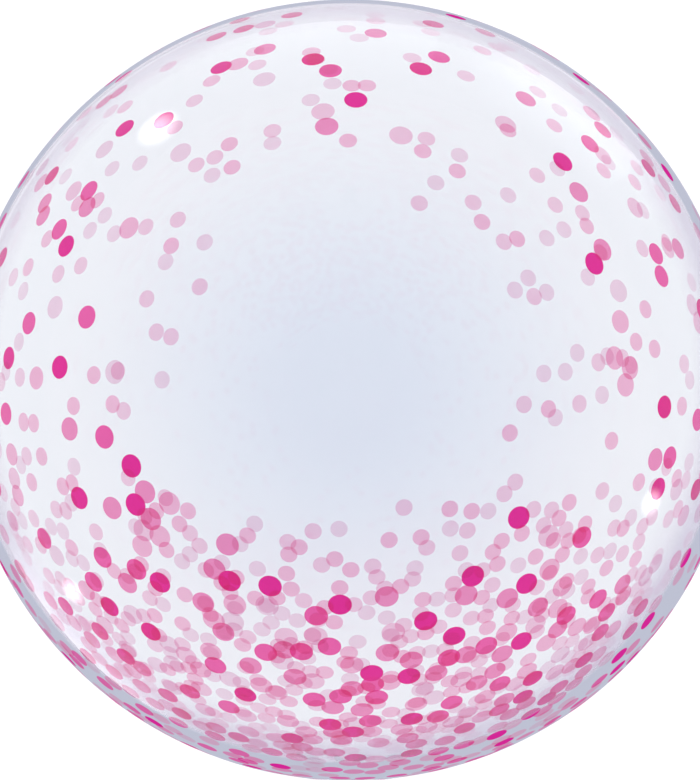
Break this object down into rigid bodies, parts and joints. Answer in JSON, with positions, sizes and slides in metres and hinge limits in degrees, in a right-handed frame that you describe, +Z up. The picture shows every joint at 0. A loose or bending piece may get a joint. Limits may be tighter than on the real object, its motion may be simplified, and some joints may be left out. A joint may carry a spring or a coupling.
{
  "type": "clear bubble balloon",
  "caption": "Clear round film bubble balloon with printed confetti dots, a gathered neck and a flat drooping tail with its self-sealing valve, lying on its side.",
  "frame": {"origin": "middle of the small flat spot that the bubble rests on, at floor level", "axes": "+Z up from the floor through the bubble's centre, -Y out along the neck and the tail, +X to the right when the neck points towards the viewer's feet"},
  "size_m": [0.6096, 0.7098, 0.6048],
  "materials": {
    "clear_film": "clear stretched film, high gloss, with printed pink confetti dots",
    "valve_film": "slightly milky thin film, satin"
  },
  "bodies": {
    "root": {"bubble": "clear_film", "valve": "valve_film"}
  },
  "joints": []
}
